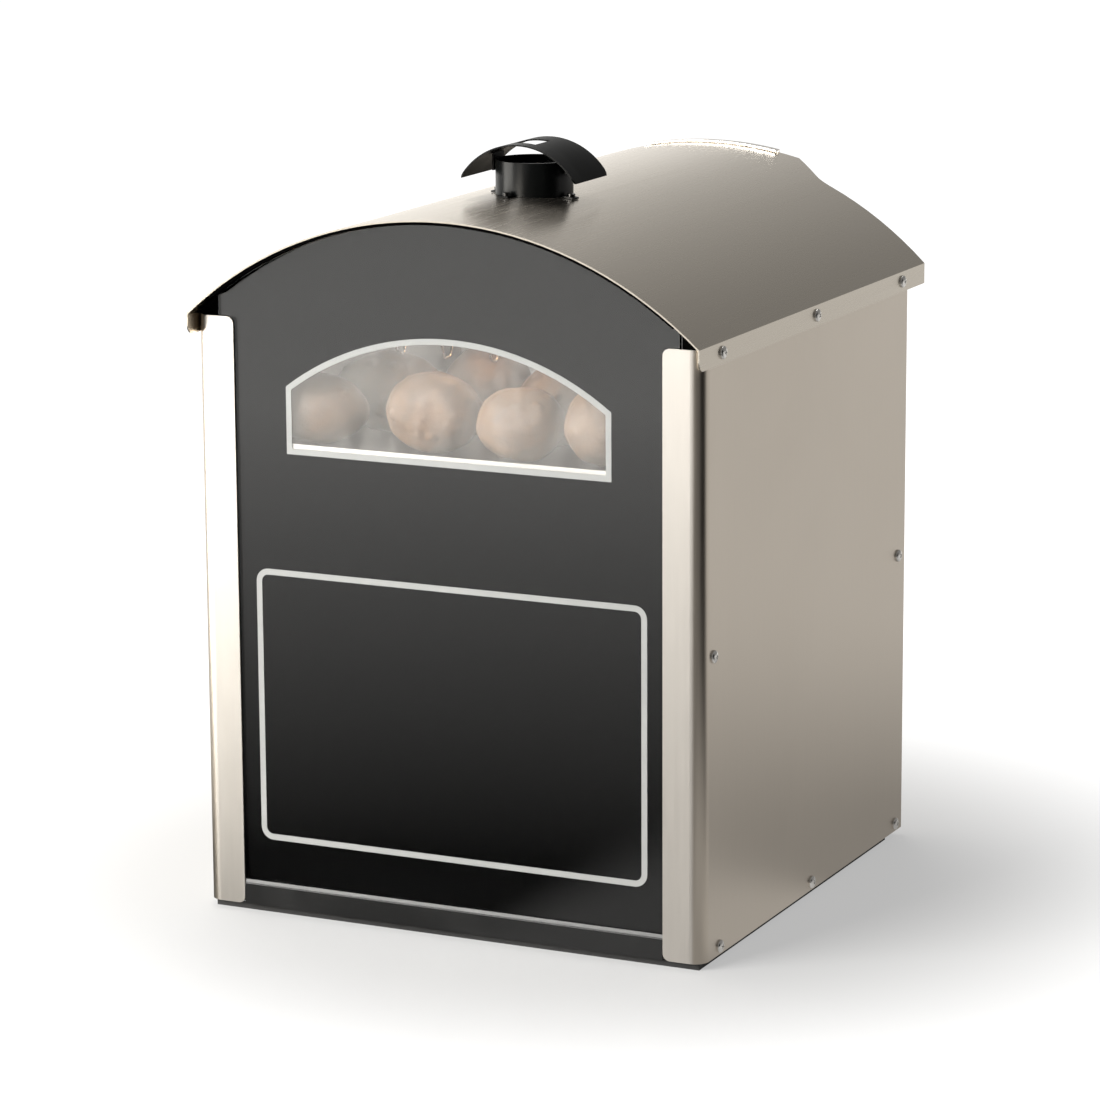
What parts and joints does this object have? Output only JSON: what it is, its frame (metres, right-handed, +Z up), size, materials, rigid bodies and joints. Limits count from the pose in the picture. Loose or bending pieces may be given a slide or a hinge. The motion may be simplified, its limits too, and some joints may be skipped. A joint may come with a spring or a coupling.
{
  "type": "baked potato oven",
  "caption": "Table-top baked potato oven with a lit display window under an arched roof, a small chimney, and a rear oven door above its controls.",
  "frame": {"origin": "on the counter, at the centre of the cabinet's footprint", "axes": "+Z up, -Y towards the customer's side with the window, +X to the customer's right, +Y towards the operator's side with the doors"},
  "size_m": [0.4588, 0.5535, 0.633],
  "materials": {
    "cabinet_steel": "fine brushed, warm grey",
    "roof_steel": "fine brushed along its length",
    "edge_strip_steel": "satin",
    "clear_glass": "polished, toughened",
    "black_print": "fired black ink behind the glass",
    "silver_print": "fired silver ink behind the glass",
    "black_trim": "satin black",
    "bead_rubber": "matt",
    "pan_steel": "matt black",
    "plinth_rubber": "matt black",
    "foot_rubber": "matt black",
    "frame_steel": "zinc plated",
    "screw_steel": "bright zinc plated",
    "liner_steel": "bright stainless",
    "reflector_aluminium": "bright rolled",
    "lamp_ceramic": "matt white",
    "lamp_glass": "clear quartz",
    "guard_wire": "bright",
    "potato_skin": "dry baked skin",
    "fascia_steel": "fine brushed",
    "panel_steel": "fine brushed",
    "oven_steel": "stainless, heat tinted",
    "mineral_wool": "matt",
    "element_sheath": "dull, oxidised",
    "motor_paint": "satin",
    "shaft_steel": "ground",
    "wheel_aluminium": "pressed",
    "rack_wire": "bright",
    "tray_enamel": "gloss enamel",
    "bulb_copper": "dull",
    "door_steel": "fine brushed",
    "door_inner_steel": "stainless",
    "seal_silicone": "matt",
    "handle_steel": "satin",
    "bush_brass": "turned",
    "frame_aluminium": "satin anodised",
    "bracket_steel": "satin",
    "pin_steel": "ground",
    "catch_plastic": "matt",
    "control_plastic": "matt",
    "knob_plastic": "satin black",
    "switch_plastic": "matt black",
    "rocker_green": "gloss",
    "rocker_amber": "gloss",
    "lens_red": "clear red lens",
    "inlet_plastic": "matt black",
    "contact_brass": "nickel plated",
    "terminal_plastic": "matt",
    "chimney_black": "satin black"
  },
  "bodies": {
    "cabinet": {"side_panel_left": "cabinet_steel", "side_panel_right": "cabinet_steel", "roof": "roof_steel", "roof_edge_strip": "edge_strip_steel", "front_glass": "clear_glass", "front_black_print": "black_print", "front_silver_print": "silver_print", "base_rail": "black_trim", "glass_bead": "bead_rubber", "base_pan": "pan_steel", "plinth": "plinth_rubber", "feet": "foot_rubber", "frame_members": "frame_steel", "bearers": "frame_steel", "cabinet_screws": "screw_steel", "display_liner": "liner_steel", "lamp_reflector": "reflector_aluminium", "lamp_holders": "lamp_ceramic", "lamp_tube": "lamp_glass", "lamp_guard": "guard_wire", "display_potatoes": "potato_skin", "rear_fascia": "fascia_steel", "control_panel": "panel_steel", "oven_liner": "oven_steel", "oven_insulation": "mineral_wool", "heating_element": "element_sheath", "fan_motor": "motor_paint", "fan_baffle": "oven_steel", "rack_runners": "oven_steel", "oven_racks": "rack_wire", "crumb_tray": "tray_enamel", "thermostat_bulb": "bulb_copper", "hinge_brackets": "bracket_steel", "hinge_pins": "pin_steel", "door_catches": "catch_plastic", "thermostat_body": "control_plastic", "timer_body": "control_plastic", "switch_housings": "switch_plastic", "pilot_lamp": "lens_red", "mains_inlet": "inlet_plastic", "inlet_pins": "contact_brass", "terminal_block": "terminal_plastic", "chimney_stub": "chimney_black", "chimney_hood": "chimney_black", "chimney_screws": "screw_steel"},
    "oven_door": {"oven_door_skin": "door_steel", "oven_door_inner": "door_inner_steel", "oven_door_core": "mineral_wool", "oven_door_seal": "seal_silicone", "oven_door_handle": "handle_steel", "oven_door_bushes": "bush_brass"},
    "display_door": {"display_door_frame": "frame_aluminium", "display_door_glass": "clear_glass", "display_door_handle": "handle_steel"},
    "thermostat_dial": {"thermostat_knob": "knob_plastic"},
    "timer_dial": {"timer_knob": "knob_plastic"},
    "oven_rocker": {"oven_switch_rocker": "rocker_green"},
    "lamp_rocker": {"lamp_switch_rocker": "rocker_amber"},
    "fan": {"fan_shaft": "shaft_steel", "fan_wheel": "wheel_aluminium"}
  },
  "joints": [
    {"name": "oven_door_hinge", "type": "hinge", "parent": "cabinet", "child": "oven_door", "pos_m": [-0.192, 0.235, 0.236], "axis": [0, 0, 1], "range_deg": [0, 110]},
    {"name": "display_door_hinge", "type": "hinge", "parent": "cabinet", "child": "display_door", "pos_m": [-0.192, 0.235, 0.443], "axis": [0, 0, 1], "range_deg": [0, 110]},
    {"name": "thermostat_turn", "type": "hinge", "parent": "cabinet", "child": "thermostat_dial", "pos_m": [0.06, 0.222, 0.05], "axis": [0, -1, 0], "range_deg": [0, 300]},
    {"name": "timer_turn", "type": "hinge", "parent": "cabinet", "child": "timer_dial", "pos_m": [-0.02, 0.222, 0.05], "axis": [0, -1, 0], "range_deg": [0, 330]},
    {"name": "oven_switch_rock", "type": "hinge", "parent": "cabinet", "child": "oven_rocker", "pos_m": [0.118, 0.214, 0.05], "axis": [1, 0, 0], "range_deg": [0, 20]},
    {"name": "lamp_switch_rock", "type": "hinge", "parent": "cabinet", "child": "lamp_rocker", "pos_m": [0.152, 0.214, 0.05], "axis": [1, 0, 0], "range_deg": [0, 20]},
    {"name": "fan_spin", "type": "hinge", "parent": "cabinet", "child": "fan", "pos_m": [0, -0.126, 0.232], "axis": [0, 1, 0], "continuous": true}
  ]
}
